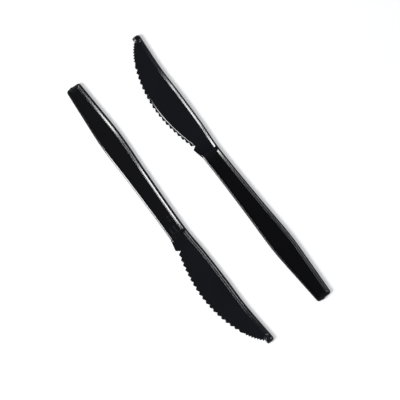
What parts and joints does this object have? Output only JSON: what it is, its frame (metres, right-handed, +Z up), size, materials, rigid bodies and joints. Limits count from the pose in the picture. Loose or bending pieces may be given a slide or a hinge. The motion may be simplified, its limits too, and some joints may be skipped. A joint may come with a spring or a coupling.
{
  "type": "plastic cutlery pack",
  "caption": "Set of black one-piece disposable plastic table knives with serrated blades and recessed handles, laid head to tail with opposite faces up.",
  "frame": {"origin": "on the table, at the centre of the pack's footprint", "axes": "+Z up from the table, +X along the pack from the tip end of the knife whose show face is up to its butt, +Y towards the backs of the blades"},
  "size_m": [0.192, 0.0638, 0.0034],
  "materials": {
    "black_plastic": "glossy as moulded"
  },
  "bodies": {
    "root": {"knife_hollow_face_up": "black_plastic", "knife_show_face_up": "black_plastic"}
  },
  "joints": []
}
